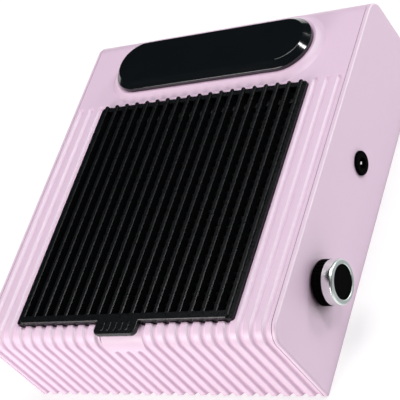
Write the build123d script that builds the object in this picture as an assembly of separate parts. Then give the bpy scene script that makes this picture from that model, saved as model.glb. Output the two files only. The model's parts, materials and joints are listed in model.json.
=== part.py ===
from build123d import *

# Desktop nail dust collector: a ribbed housing with a lift-up intake grille over a pleated filter,
# a centrifugal blower under it, a hand rest behind the grille, and a speed knob and a power inlet
# on the right side. All lengths are millimetres.
#
# Everything is drawn in the housing's own coordinates: X across from the housing's middle, Y back
# from the front face, Z up from the table. PLACE then puts the origin under the middle of the box
# that holds the whole object, knob included.

import os
from math import atan2, cos, degrees, pi, radians, sin

# ---------------------------------------------------------------- driving dimensions: housing
WIDTH = 200.0
DEPTH = 224.0
FOOT_HEIGHT = 2.5
RIM_LOW = 0.6
BODY_HEIGHT = 60.0
BOTTOM = FOOT_HEIGHT
TOP = BOTTOM + BODY_HEIGHT
CORNER_R = 10.0
WALL = 3.0
COVER_T = 2.4
SEAM = 0.3
COVER_RIM_R = 1.2
SHELL_HALF = WIDTH / 2 - COVER_T - SEAM
COVER_INNER = WIDTH / 2 - COVER_T
CEILING = TOP - WALL
BASE_T = 2.5
BASE_TOP = BOTTOM + BASE_T
FIT_GAP = 0.3

# ribs and grooves that run over the top and down the front
PITCH = 7.8
GROOVE_COUNT = 25
GROOVE_HALF = 2.3
GROOVE_DEPTH = 1.6
GROOVE_END_SIDE = 166.0
GROOVE_END_MIDDLE = 164.4
SLAT_COUNT = 19

# intake grille, hinged at its rear edge
GRILLE_HALF = 9.5 * PITCH
GRILLE_FRONT = 9.9
GRILLE_REAR = 164.4
GRILLE_TOP = TOP + 3.0
GRILLE_FOOT = 58.2
GRILLE_CORNER_R = 1.5
SLAT_W = 2.6
SLAT_FOOT = GRILLE_TOP - 5.0
SLAT_EDGE = 0.4
SLAT_REAR = GRILLE_REAR + 1.0
SLAT_FRONT = GRILLE_FRONT + 1.0
FRONT_BAR = 4.6
REAR_BAR = 3.0
LOW_BAR_DROP = 1.3
SKIRT_T = 2.0
HINGE_Y = GRILLE_REAR + 1.2
HINGE_Z = 63.3
HOOK_IN_R = 4.3
HOOK_OUT_R = 5.3
HOOK_SPAN = (-118.0, -69.0)
HOOK_X = (-54.6, 0.0, 54.6)
HOOK_W = 12.0

# finger tab on the grille and the shallow recess under it
TAB_W = 28.4
TAB_FRONT = 1.6
TAB_T = 2.6
TAB_CORNER_R = 3.0
TAB_EDGE_R = 0.5
GRIP_BARS = 5
GRIP_PITCH = 4.2
GRIP_SIZE = (1.3, 5.0, 0.3)
GRIP_EDGE = 0.15
RECESS_HALF = 14.3
RECESS_LOW = 50.0
RECESS_R = 11.6

# hand rest on its raised plinth
REST_LENGTH = 140.0
REST_WIDTH = 37.8
REST_Y = 192.8
REST_T = 6.0
REST_BEVEL = 3.6
REST_SHELL = 2.0
PLINTH_H = 3.0
PLINTH_MARGIN = 1.6
PLINTH_FAIRING = 5.0
REST_SCREW_X = 45.0

# speed knob and its potentiometer
KNOB_Y = 48.5
KNOB_Z = 34.6
KNOB_R = 12.3
KNOB_GAP = 1.2
SKIRT_H = 5.9
RING_H = 6.2
RING_R = 12.2
RING_IN_R = 9.4
RING_EDGE_R = 1.5
KNOB_END = WIDTH / 2 + KNOB_GAP + SKIRT_H + RING_H
FLUTES = 30
POT_R = 8.25
POT_DEPTH = 9.0
BUSH_R = 3.5
POT_SHAFT_R = 3.0
SHAFT_PLAY = 0.05

# power inlet
JACK_Y = 129.2
JACK_Z = 30.1
JACK_BEZEL_R = 6.9
JACK_BEZEL_T = 1.6
JACK_BARREL_R = 5.5
JACK_DEPTH = 14.0
JACK_SOCKET_R = 3.2
JACK_SOCKET_DEPTH = 11.0
JACK_PIN_R = 1.05
JACK_ROOT_R = 0.8

# blower
FAN_X = -12.0
FAN_Y = 88.0
VOLUTE_R = 62.0
VOLUTE_STEP = 6.0
SCROLL_T = 2.0
SCROLL_FLOOR = BASE_TOP + SCROLL_T
SCROLL_RIM = 34.0
PLATE_TOP = SCROLL_RIM + SCROLL_T
TONGUE_ANGLE = 35.0
DUCT_END = 219.4
DUCT_LEFT = 6.0
INLET_R = 38.0
LIP_T = 1.6
LIP_FOOT = 29.0
IMPELLER_R = 58.0
IMPELLER_FOOT = 12.2
HUB_R = 22.4
BLADES = 11
BLADE_T = 1.6
BLADE_FOOT = 13.6
SHROUD_FOOT = 28.5
SHROUD_TOP = 30.0
FAN_BOSS_R = 3.6
FAN_BOSSES = ((-77.0, 34.0), (77.0, 40.0), (-77.0, 136.0), (79.5, 190.0))

# motor: a flat outer-rotor motor under the impeller's hub
SHAFT_R = 2.0
PRESS_GAP = 0.02
BEARING_R = 5.5
BEARING_W = 4.0
LOW_BEARING = 9.0
HIGH_BEARING = 21.0
TUBE_R = 8.0
TUBE_TOP = 25.0
MOTOR_STEP = 3.2
CUP_R = 20.4
CUP_T = 1.2
CUP_TOP = 27.0
MAGNET_T = 2.0
STATOR_R = 16.5
STATOR_FOOT = 13.0
STATOR_TOP = 20.0
TEETH = 9

# filter cartridge and its tray
TRAY_HALF = 73.0
TRAY_FRONT = 10.4
TRAY_REAR = 163.2
TRAY_T = 2.0
LEDGE_TOP = 43.0
LEDGE_W = 3.0
SEAL_T = 1.0
FILTER_FOOT = LEDGE_TOP + SEAL_T
FILTER_TOP = 55.5
FILTER_GAP = 0.6
FILTER_WALL = 3.4
PLEATS = 23
PLEAT_T = 0.9
EAR_R = 4.0
TRAY_EARS = ((-84.0, 24.0), (84.0, 24.0), (-84.0, 150.0), (84.0, 150.0))

# exhaust grille in the rear wall
EXHAUST_X = (8.0, 68.0)
EXHAUST_Z = (10.0, 31.0)
EXHAUST_PITCH = 6.0
EXHAUST_SLOT = 3.0
EXHAUST_FLANGE = 1.4

# control board
BOARD_X = (-82.0, -14.0)
BOARD_Y = (168.0, 214.0)
BOARD_Z = 12.0
BOARD_T = 1.6

# fasteners, feet and leads
SCREW_R = 1.4
THREAD_GAP = 0.05
SCREW_HEAD_R = 2.6
SMALL_SCREW_R = 1.2
SCREW_HEAD_H = 1.5
SHELL_BOSS_R = 4.0
SHELL_BOSSES = [(x, y) for x in (-88.0, 88.0) for y in (12.0, 112.0, 212.0)]
COVER_SCREW_Y = (36.0, 98.0, 186.0)
COVER_SCREW_Z = 53.0
FOOT_R = 6.0
FEET = {
    "foot_front_left": (-74.0, 24.0),
    "foot_front_right": (74.0, 24.0),
    "foot_rear_left": (-74.0, 204.0),
    "foot_rear_right": (74.0, 204.0),
}
LEAD_R = 1.2

PLACE = Pos(-(KNOB_END - WIDTH / 2) / 2, -DEPTH / 2, 0)


# ---------------------------------------------------------------- helpers
def block(x, y, z):
    """Box between the low and high values of each axis."""
    size = Box(x[1] - x[0], y[1] - y[0], z[1] - z[0], align=(Align.MIN,) * 3)
    return Pos(x[0], y[0], z[0]) * size


def post(radius, x, y, z0, z1):
    """Upright cylinder from z0 to z1."""
    upright = Cylinder(radius, z1 - z0, align=(Align.CENTER, Align.CENTER, Align.MIN))
    return Pos(x, y, z0) * upright


def rod(radius, x0, x1, y, z):
    """Cylinder along X from x0 to x1."""
    lying = Cylinder(radius, x1 - x0, align=(Align.CENTER, Align.CENTER, Align.MIN))
    return Pos(x0, y, z) * Rot(0, 90, 0) * lying


def ring(inner, outer, x, y, z0, z1):
    """Upright tube."""
    return post(outer, x, y, z0, z1) - post(inner, x, y, z0 - 1, z1 + 1)


def rod_ring(inner, outer, x0, x1, y, z):
    """Tube along X."""
    return rod(outer, x0, x1, y, z) - rod(inner, x0 - 1, x1 + 1, y, z)


def plate(sketch, z0, z1):
    """Flat sketch drawn in X and Y, raised from z0 to z1."""
    return extrude(Pos(0, 0, z0) * sketch, z1 - z0)


def slab(sketch, x0, x1):
    """Sketch drawn in Y and Z, run along X from x0 to x1."""
    return extrude(Plane.YZ.offset(x0) * sketch, x1 - x0)


def side_outline(inset, foot):
    """The housing seen from the side, inset all round, with its foot at the height given."""
    height = TOP - inset - foot
    face = Pos(DEPTH / 2, foot + height / 2) * Rectangle(DEPTH - 2 * inset, height)
    return fillet(face.vertices().sort_by(Axis.Y)[-2:], CORNER_R - inset)


def screw(head_r, head_h, shank_r, length, slot=1.1):
    """Cross-head screw, its head's underside at the origin and its shank down along -Z."""
    body = post(head_r, 0, 0, 0, head_h) + post(shank_r, 0, 0, -length, 0)
    arm = head_r * 1.3
    wide = slot / 2
    recess = block((-arm / 2, arm / 2), (-wide / 2, wide / 2), (head_h / 3, head_h + 1))
    return body - recess - Rot(0, 0, 90) * recess


def hexagon_nut(across, bore, x0, x1, y, z):
    """Hexagonal nut around an axis along X."""
    flat = RegularPolygon(across / 2, 6, major_radius=False) - Circle(bore)
    return Pos(x0, y, z) * Rot(0, 90, 0) * extrude(flat, x1 - x0)


def group(shapes):
    """Several separate solids as one node."""
    return Compound(children=[solid for shape in shapes for solid in shape.solids()])


# ---------------------------------------------------------------- housing
def groove_face(half):
    """Groove section: rounded shoulders and a rounded bottom, X across and Y outwards.
    With half=True only the side with X above zero is drawn, for turned ends."""
    hip = (1.35, -0.85)
    shoulder = (1.8, -0.26)
    edge = (GROOVE_HALF, 0.0)
    right = ThreePointArc(hip, shoulder, edge)
    if half:
        sag = (hip[0] * 0.55, -GROOVE_DEPTH + 0.22)
        bottom = ThreePointArc((0, -GROOVE_DEPTH), sag, hip)
        lid = Polyline(edge, (edge[0], 1.0), (0, 1.0), (0, -GROOVE_DEPTH))
        return make_face([bottom, right, lid])
    left = ThreePointArc((-edge[0], 0), (-shoulder[0], shoulder[1]), (-hip[0], hip[1]))
    bottom = ThreePointArc((-hip[0], hip[1]), (0, -GROOVE_DEPTH), hip)
    lid = Polyline(edge, (edge[0], 1.0), (-edge[0], 1.0), (-edge[0], 0))
    return make_face([left, bottom, right, lid])


def front_groove(x, start):
    """Cutter for a groove down the front face from the height given."""
    face = Plane((x, 0, start), x_dir=(1, 0, 0), z_dir=(0, 0, -1)) * groove_face(False)
    return extrude(face, start - RIM_LOW + 1)


def full_groove(x, end):
    """Cutter for a groove from its rounded rear end over the top and down the front."""
    across = (1, 0, 0)
    top_face = Plane((x, end, TOP), x_dir=across, z_dir=(0, -1, 0)) * groove_face(False)
    bend_face = Plane((x, CORNER_R, TOP), x_dir=across, z_dir=(0, -1, 0)) * groove_face(False)
    end_face = Plane((x, end, TOP), x_dir=across, z_dir=(0, -1, 0)) * groove_face(True)
    bend_axis = Axis((0, CORNER_R, TOP - CORNER_R), across)
    return [
        extrude(top_face, end - CORNER_R),
        revolve(bend_face, bend_axis, 90),
        revolve(end_face, Axis((x, end, TOP), (0, 0, 1)), 360),
        front_groove(x, TOP - CORNER_R),
    ]


def groove_cutters():
    """All the grooves. The three in the middle start below the recess under the tab."""
    reach = GROOVE_COUNT // 2
    slat_reach = SLAT_COUNT // 2
    across = (1, 0, 0)
    cutters = []
    for k in range(-reach, reach + 1):
        x = k * PITCH
        if abs(k) <= 1:
            start = RECESS_LOW - GROOVE_HALF - 0.4
            upright = Plane((x, 0, start), x_dir=across, z_dir=(0, 0, -1)) * groove_face(True)
            cutters.append(revolve(upright, Axis((x, 0, start), (0, 1, 0)), 360))
            cutters.append(front_groove(x, start))
            rear = Plane((x, GROOVE_END_MIDDLE, TOP), x_dir=across, z_dir=(0, -1, 0))
            cutters.append(extrude(rear * groove_face(False), 10.0))
            tip = Axis((x, GROOVE_END_MIDDLE, TOP), (0, 0, 1))
            cutters.append(revolve(rear * groove_face(True), tip, 360))
        else:
            end = GROOVE_END_MIDDLE if abs(k) <= slat_reach else GROOVE_END_SIDE
            cutters += full_groove(x, end)
    return cutters


def plinth():
    """Raised oval that carries the hand rest, with a hollow fairing down to the top face."""
    flat = REST_WIDTH / 2 + PLINTH_MARGIN
    sunk = 1.5
    foot = flat + PLINTH_FAIRING
    sweep_arc = ThreePointArc((foot, -0.15), (flat + 3.1, 0.75), (flat, PLINTH_H))
    rest = Polyline((flat, PLINTH_H), (0, PLINTH_H), (0, -sunk), (foot, -sunk), (foot, -0.15))
    half = make_face([sweep_arc, rest])
    straight = (REST_LENGTH - REST_WIDTH) / 2
    shape = None
    for side in (-1, 1):
        end = Plane((side * straight, REST_Y, TOP), x_dir=(0, 1, 0), z_dir=(1, 0, 0))
        turned = revolve(end * half, Axis((side * straight, REST_Y, TOP), (0, 0, 1)), 360)
        shape = turned if shape is None else shape + turned
    middle = Plane((-straight, REST_Y, TOP), x_dir=(0, 1, 0), z_dir=(1, 0, 0))
    whole = half + mirror(half, Plane.YZ)
    return shape + extrude(middle * whole, 2 * straight)


def tab_recess():
    """Cutter that rounds the bend more gently under the grille's tab, to make room for a finger."""
    low = (0.0, RECESS_LOW)
    rise = (RECESS_R**2 - (RECESS_R - GRILLE_FRONT) ** 2) ** 0.5
    high = (GRILLE_FRONT, RECESS_LOW + rise)
    half_turn = pi / 4
    middle = (RECESS_R - RECESS_R * cos(half_turn), RECESS_LOW + RECESS_R * sin(half_turn))
    above = TOP + 5.0
    front = -3.0
    edge = Polyline(high, (high[0], above), (front, above), (front, low[1]), low)
    face = make_face([ThreePointArc(low, middle, high), edge])
    return slab(face, -RECESS_HALF, RECESS_HALF)


def wrap_shell():
    """The ribbed front, top and back in one piece, open below and at both ends."""
    half = SHELL_HALF
    shell = slab(side_outline(0, RIM_LOW), -half, half)
    shell -= slab(side_outline(WALL, RIM_LOW - 1), -half - 1, half + 1)
    shell += plinth() & slab(side_outline(-PLINTH_H - 1, BOTTOM), -half, half)
    opening = RectangleRounded(
        2 * (GRILLE_HALF + FIT_GAP),
        GRILLE_REAR - GRILLE_FRONT + 2 * FIT_GAP,
        GRILLE_CORNER_R + FIT_GAP,
    )
    middle_y = (GRILLE_FRONT + GRILLE_REAR) / 2
    shell -= plate(Pos(0, middle_y) * opening, GRILLE_FOOT - 0.5, TOP + 10)
    shell -= groove_cutters()
    shell -= tab_recess()
    for x, y in SHELL_BOSSES:
        shell += post(SHELL_BOSS_R, x, y, BASE_TOP, CEILING + 0.5)
    for side in (-1, 1):
        for y in COVER_SCREW_Y:
            near, far = sorted((side * 90.0, side * 93.0))
            shell += block((near, far), (y - 5, y + 5), (COVER_SCREW_Z - 4, CEILING + 0.5))
            shell -= rod(SCREW_R + 0.2, near - 1, far + 1, y, COVER_SCREW_Z)
    for x, y in SHELL_BOSSES:
        shell -= post(SCREW_R + THREAD_GAP, x, y, BASE_TOP - 1, BASE_TOP + 16)
    for x in (-REST_SCREW_X, REST_SCREW_X):
        shell -= post(SCREW_R + 0.2, x, REST_Y, CEILING - 1, TOP + PLINTH_H + 1)
    return shell - block(EXHAUST_X, (DEPTH - WALL - 1, DEPTH + 1), EXHAUST_Z)


def side_cover(side):
    """Flat end cover with a rounded rim, a locating rib and screw bosses; side is -1 or 1."""
    outer = WIDTH / 2
    cover = slab(side_outline(0, RIM_LOW), COVER_INNER, outer)
    rim = cover.faces().sort_by(Axis.X)[-1].edges()
    foot = rim.sort_by(Axis.Z)[0]
    cover = fillet(rim - ShapeList([foot]), COVER_RIM_R)
    rib_outer = side_outline(WALL + FIT_GAP, BASE_TOP + 0.5)
    rib_inner = side_outline(WALL + FIT_GAP + 1.6, BOTTOM - 1)
    cover += slab(rib_outer - rib_inner, COVER_INNER - 4.2, COVER_INNER + 0.2)
    for y in COVER_SCREW_Y:
        cover += rod(3.2, 93.2, COVER_INNER + 0.2, y, COVER_SCREW_Z)
        cover -= rod(SCREW_R + THREAD_GAP, 93.0, 98.0, y, COVER_SCREW_Z)
    if side > 0:
        cover -= rod(BUSH_R + 0.1, 90, outer + 1, KNOB_Y, KNOB_Z)
        cover -= rod(JACK_BARREL_R + 0.15, 90, outer + 1, JACK_Y, JACK_Z)
        return cover
    return mirror(cover, Plane.YZ)


def base_plate():
    """Bottom cover with the posts that carry the blower, the filter tray and the board."""
    half = COVER_INNER - 0.2
    span = (WALL + 0.2, DEPTH - WALL - 0.2)
    base = block((-half, half), span, (BOTTOM, BASE_TOP))
    for x, y in SHELL_BOSSES:
        base -= post(SCREW_R + 0.3, x, y, BOTTOM - 1, BASE_TOP + 1)
        base -= post(SCREW_HEAD_R + 0.3, x, y, BOTTOM - 1, BOTTOM + SCREW_HEAD_H + 0.1)
    for x, y in TRAY_EARS:
        base += post(EAR_R - 0.5, x, y, BASE_TOP - 0.5, PLATE_TOP)
        base -= post(SCREW_R + THREAD_GAP, x, y, PLATE_TOP - 10.5, PLATE_TOP + 1)
    for x, y in board_corners():
        base += post(3.0, x, y, BASE_TOP - 0.5, BOARD_Z)
        base -= post(SMALL_SCREW_R + THREAD_GAP, x, y, BASE_TOP + 0.5, BOARD_Z + 1)
    for x, y in FAN_BOSSES:
        base -= post(SCREW_R + THREAD_GAP, x, y, BOTTOM + 0.6, BASE_TOP + 1)
    return base


def foot(x, y):
    """Rubber foot, slightly rounded where it meets the table."""
    pad = post(FOOT_R, x, y, 0, FOOT_HEIGHT)
    return fillet(pad.edges().sort_by(Axis.Z)[0], 0.6)


def base_screws():
    """Screws from below the base plate into the shell's bosses."""
    one = Rot(180, 0, 0) * screw(SCREW_HEAD_R, SCREW_HEAD_H, SCREW_R, 14.0)
    under = BOTTOM + SCREW_HEAD_H + 0.1
    return group([Pos(x, y, under) * one for x, y in SHELL_BOSSES])


def cover_screws():
    """Screws from inside the shell's tabs out into the side covers."""
    screws = []
    for side in (-1, 1):
        turn = Rot(0, -90 * side, 0)
        for y in COVER_SCREW_Y:
            one = turn * screw(SCREW_HEAD_R, SCREW_HEAD_H, SCREW_R, 7.5)
            screws.append(Pos(side * 90.0, y, COVER_SCREW_Z) * one)
    return group(screws)


def exhaust_grille():
    """Slotted outlet that clips into the rear wall from inside."""
    x0, x1 = EXHAUST_X
    z0, z1 = EXHAUST_Z
    inside = DEPTH - WALL
    panel = block((x0 + FIT_GAP, x1 - FIT_GAP), (inside, DEPTH), (z0 + FIT_GAP, z1 - FIT_GAP))
    panel += block((x0 - 3, x1 + 3), (inside - EXHAUST_FLANGE, inside), (z0 - 2.5, z1 + 2.5))
    slots = int((x1 - x0) / EXHAUST_PITCH)
    for i in range(slots):
        x = x0 + EXHAUST_PITCH * (i + 0.5)
        span = (x - EXHAUST_SLOT / 2, x + EXHAUST_SLOT / 2)
        panel -= block(span, (inside - 3, DEPTH + 1), (z0 + 2, z1 - 2))
    return panel


# ---------------------------------------------------------------- grille
def slat(x):
    """One slat along Y with softened top edges and round ends."""
    wide = SLAT_W / 2
    round_front = post(wide, x, SLAT_FRONT + wide, SLAT_FOOT, GRILLE_TOP)
    round_rear = post(wide, x, SLAT_REAR - wide, TOP + FIT_GAP, GRILLE_TOP)
    beyond = (x - wide - 1, x + wide + 1)
    bar = block((x - wide, x + wide), (SLAT_FRONT + wide, SLAT_REAR - wide), (SLAT_FOOT, GRILLE_TOP))
    bar -= block(beyond, (GRILLE_REAR, SLAT_REAR), (SLAT_FOOT - 1, TOP + FIT_GAP))
    body = round_front + bar + round_rear
    top = body.faces().sort_by(Axis.Z)[-1]
    return chamfer(top.edges(), SLAT_EDGE)


def grip_tab():
    """Finger tab at the middle of the front edge, with plain raised grip bars on top."""
    low = GRILLE_TOP - TAB_T
    tab = block((-TAB_W / 2, TAB_W / 2), (TAB_FRONT, GRILLE_FRONT + 1), (low, GRILLE_TOP))
    tips = tab.edges().filter_by(Axis.Z).sort_by(Axis.Y)[:2]
    tab = fillet(tips, TAB_CORNER_R)
    rim = tab.faces().sort_by(Axis.Z)[-1].edges()
    tab = fillet(rim - rim.sort_by(Axis.Y)[-1:], TAB_EDGE_R)
    wide, long, high = GRIP_SIZE
    start = TAB_FRONT + 2.2
    first = -(GRIP_BARS - 1) / 2 * GRIP_PITCH
    for i in range(GRIP_BARS):
        x = first + i * GRIP_PITCH
        span = (x - wide / 2, x + wide / 2)
        bar = block(span, (start, start + long), (GRILLE_TOP - 0.5, GRILLE_TOP + high))
        tab += chamfer(bar.faces().sort_by(Axis.Z)[-1].edges(), GRIP_EDGE)
    return tab


def hook(x):
    """Curved hook that turns about the hinge line and holds the rear edge under the shell."""
    start, end = HOOK_SPAN
    size = end - start
    centre = (HINGE_Y, HINGE_Z)
    outer = CenterArc(centre, HOOK_OUT_R, start, size)
    inner = CenterArc(centre, HOOK_IN_R, start, size)
    face = make_face([outer, Line(outer @ 0, inner @ 0), inner, Line(inner @ 1, outer @ 1)])
    return slab(face, x - HOOK_W / 2, x + HOOK_W / 2)


def grille_cover():
    """Lift-up intake grille: frame, slats, finger tab and rear hooks."""
    middle_y = (GRILLE_FRONT + GRILLE_REAR) / 2
    outline = RectangleRounded(2 * GRILLE_HALF, GRILLE_REAR - GRILLE_FRONT, GRILLE_CORNER_R)
    low_top = GRILLE_TOP - LOW_BAR_DROP
    cover = plate(Pos(0, middle_y) * outline, GRILLE_FOOT, low_top)
    inner = GRILLE_HALF - SKIRT_T
    skirt_span = (GRILLE_FRONT + SKIRT_T, GRILLE_REAR - SKIRT_T)
    cover -= block((-inner, inner), skirt_span, (GRILLE_FOOT - 1, SLAT_FOOT))
    reach = (SLAT_COUNT - 1) / 2 * PITCH
    gap_front = GRILLE_FRONT + FRONT_BAR
    gap_rear = GRILLE_REAR - REAR_BAR
    cover -= block((-reach, reach), (gap_front, gap_rear), (SLAT_FOOT - 1, low_top + 1))
    front_bar = block((-reach, reach), (GRILLE_FRONT, gap_front), (SLAT_FOOT, GRILLE_TOP))
    cover += chamfer(front_bar.edges().filter_by(Axis.X).sort_by(Axis.Z)[-2:], SLAT_EDGE)
    for i in range(SLAT_COUNT):
        cover += slat(-reach + i * PITCH)
    cover += grip_tab()
    for x in HOOK_X:
        cover += hook(x)
    return cover


# ---------------------------------------------------------------- hand rest
def stadium(length, width):
    """Oval with straight sides, centred on the hand rest."""
    return Pos(0, REST_Y) * SlotOverall(length, width)


def hand_rest():
    """Bevelled oval hand rest, hollow below, with two screw bosses."""
    foot_z = TOP + PLINTH_H
    top_z = foot_z + REST_T
    rest = plate(stadium(REST_LENGTH, REST_WIDTH), foot_z, top_z)
    rest = chamfer(rest.faces().sort_by(Axis.Z)[-1].edges(), REST_BEVEL)
    bevel_ends = rest.edges().filter_by(lambda e: e.center().Z > top_z - REST_BEVEL - 0.1)
    rest = fillet(bevel_ends, 0.5)
    hollow = 2 * REST_BEVEL + REST_SHELL
    rest -= plate(stadium(REST_LENGTH - hollow, REST_WIDTH - hollow), foot_z - 1, top_z - REST_SHELL)
    for x in (-REST_SCREW_X, REST_SCREW_X):
        rest += post(3.4, x, REST_Y, foot_z, top_z - REST_SHELL + 0.2)
        rest -= post(SCREW_R + THREAD_GAP, x, REST_Y, foot_z - 1, foot_z + 3.6)
    return rest


def hand_rest_screws():
    """Screws up through the top wall into the hand rest."""
    one = Rot(180, 0, 0) * screw(SCREW_HEAD_R, SCREW_HEAD_H, SCREW_R, 8.6)
    return group([Pos(x, REST_Y, CEILING) * one for x in (-REST_SCREW_X, REST_SCREW_X)])


# ---------------------------------------------------------------- filter
def tray_block(inset, z0, z1):
    """Block on the filter tray's plan, inset all round."""
    x = (-TRAY_HALF + inset, TRAY_HALF - inset)
    return block(x, (TRAY_FRONT + inset, TRAY_REAR - inset), (z0, z1))


def filter_tray():
    """Open-topped tray that carries the filter over the blower's inlet."""
    tray = tray_block(0, PLATE_TOP, GRILLE_FOOT)
    tray -= tray_block(TRAY_T, LEDGE_TOP, GRILLE_FOOT + 1)
    tray -= tray_block(TRAY_T + LEDGE_W, PLATE_TOP + TRAY_T, GRILLE_FOOT)
    for x, y in TRAY_EARS:
        side = 1 if x > 0 else -1
        span = sorted((side * (TRAY_HALF - 1), x))
        tray += post(EAR_R, x, y, PLATE_TOP, PLATE_TOP + TRAY_T)
        tray += block(span, (y - EAR_R, y + EAR_R), (PLATE_TOP, PLATE_TOP + TRAY_T))
        tray -= post(SCREW_R + 0.2, x, y, PLATE_TOP - 1, PLATE_TOP + TRAY_T + 1)
    return tray - post(INLET_R + 6, FAN_X, FAN_Y, PLATE_TOP - 1, LEDGE_TOP)


def tray_screws():
    """Screws through the tray's ears into the base plate's posts."""
    one = screw(SCREW_HEAD_R, SCREW_HEAD_H, SCREW_R, 10.0)
    return group([Pos(x, y, PLATE_TOP + TRAY_T) * one for x, y in TRAY_EARS])


def filter_seal():
    """Foam gasket on the tray's ledge."""
    inset = TRAY_T + 0.3
    hollow = tray_block(inset + 2.4, LEDGE_TOP - 1, FILTER_FOOT + 1)
    return tray_block(inset, LEDGE_TOP, FILTER_FOOT) - hollow


def filter_frame():
    """Moulded frame of the filter cartridge, with two cross bars under the pleats."""
    inset = TRAY_T + FILTER_GAP
    frame = tray_block(inset, FILTER_FOOT, FILTER_TOP)
    frame -= tray_block(inset + FILTER_WALL, FILTER_FOOT - 1, FILTER_TOP + 1)
    half = TRAY_HALF - inset - FILTER_WALL
    span = (TRAY_FRONT + inset, TRAY_REAR - inset)
    for x in (-half / 3, half / 3):
        frame += block((x - 1.2, x + 1.2), span, (FILTER_FOOT, FILTER_FOOT + 1.2))
    for x in (-20.0, 20.0):
        frame -= block((x - 6, x + 6), (span[0] - 1, span[0] + 1.2), (FILTER_TOP - 4, FILTER_TOP + 1))
    return frame


def filter_media():
    """Pleated sheet inside the frame, folded to and fro along Y."""
    inset = TRAY_T + FILTER_GAP + FILTER_WALL
    front = TRAY_FRONT + inset
    rear = TRAY_REAR - inset
    low = FILTER_FOOT + 1.4
    high = FILTER_TOP - 0.8 - PLEAT_T
    step = (rear - front) / (2 * PLEATS)
    fold = [(front + i * step, high if i % 2 else low) for i in range(2 * PLEATS + 1)]
    upper = [(y, z + PLEAT_T) for y, z in reversed(fold)]
    half = TRAY_HALF - inset
    return slab(Polygon(fold + upper, align=None), -half, half)


# ---------------------------------------------------------------- blower
def volute():
    """Inside outline of the scroll: four quarter arcs that grow turn by turn, then the outlet."""
    half = VOLUTE_STEP / 2
    corners = [(-half, half), (-half, -half), (half, -half), (half, half)]
    centres = [(FAN_X + x, FAN_Y + y) for x, y in corners]
    radii = [VOLUTE_R + VOLUTE_STEP * i for i in range(4)]
    arcs = [CenterArc(centres[0], radii[0], TONGUE_ANGLE, 90 - TONGUE_ANGLE)]
    for i in range(1, 4):
        arcs.append(CenterArc(centres[i], radii[i], 90 * i, 90))
    end = arcs[-1] @ 1
    tongue = arcs[0] @ 0
    outlet = Polyline(end, (end.X, DUCT_END), (DUCT_LEFT, DUCT_END), tongue)
    return make_face([*arcs, outlet])


def boss_arms(face):
    """Ears that join each fan boss to the scroll's wall."""
    for x, y in FAN_BOSSES:
        if y > DUCT_END - 60:
            target = (FAN_X + 80.0, y)
        else:
            target = (FAN_X, FAN_Y)
        angle = degrees(atan2(target[1] - y, target[0] - x))
        face += Pos(x, y) * Circle(FAN_BOSS_R)
        length = 22.0 if abs(x - target[0]) > 30 else 8.0
        arm = Rectangle(length, 2 * FAN_BOSS_R, align=(Align.MIN, Align.CENTER))
        face += Pos(x, y) * Rot(0, 0, angle) * arm
    return face


def scroll_outline():
    """Outside outline of the scroll, squared off at the outlet."""
    grown = offset(volute(), SCROLL_T, kind=Kind.ARC)
    spare = Pos(0, DUCT_END) * Rectangle(400, 40, align=(Align.CENTER, Align.MIN))
    return grown - spare


def fan_scroll():
    """Scroll-shaped blower casing with its floor; the outlet is open to the rear."""
    outside = scroll_outline()
    inside = volute()
    casing = plate(outside, BASE_TOP, SCROLL_RIM) - plate(inside, SCROLL_FLOOR, SCROLL_RIM + 1)
    arms = boss_arms(outside) - outside
    casing += plate(arms, BASE_TOP, BASE_TOP + 4)
    for x, y in FAN_BOSSES:
        casing += post(FAN_BOSS_R, x, y, BASE_TOP, SCROLL_RIM)
        casing -= post(SCREW_R + 0.2, x, y, BASE_TOP - 1, SCROLL_RIM + 1)
    for x, y in motor_screw_spots():
        casing -= post(SMALL_SCREW_R + THREAD_GAP, x, y, BASE_TOP - 1, SCROLL_FLOOR + 1)
    start = MOTOR_ROUTE[0]
    onward = MOTOR_ROUTE[1]
    heading = degrees(atan2(onward[1] - start[1], onward[0] - start[0]))
    tunnel = Box(60, 3.4, 3.6, align=(Align.MIN, Align.CENTER, Align.CENTER))
    return casing - Pos(start[0], start[1], start[2] + 0.1) * Rot(0, 0, heading) * tunnel


def fan_inlet_plate():
    """Lid of the scroll with the inlet ring."""
    lid = plate(boss_arms(scroll_outline()), SCROLL_RIM, PLATE_TOP)
    for x, y in FAN_BOSSES:
        lid -= post(SCREW_R + 0.2, x, y, SCROLL_RIM - 1, PLATE_TOP + 1)
    lid += post(INLET_R + LIP_T, FAN_X, FAN_Y, LIP_FOOT, SCROLL_RIM + 0.5)
    return lid - post(INLET_R, FAN_X, FAN_Y, LIP_FOOT - 1, PLATE_TOP + 1)


def fan_screws():
    """Long screws that clamp the lid and the scroll to the base plate."""
    one = screw(SCREW_HEAD_R, SCREW_HEAD_H, SCREW_R, 32.6)
    return group([Pos(x, y, PLATE_TOP) * one for x, y in FAN_BOSSES])


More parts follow.
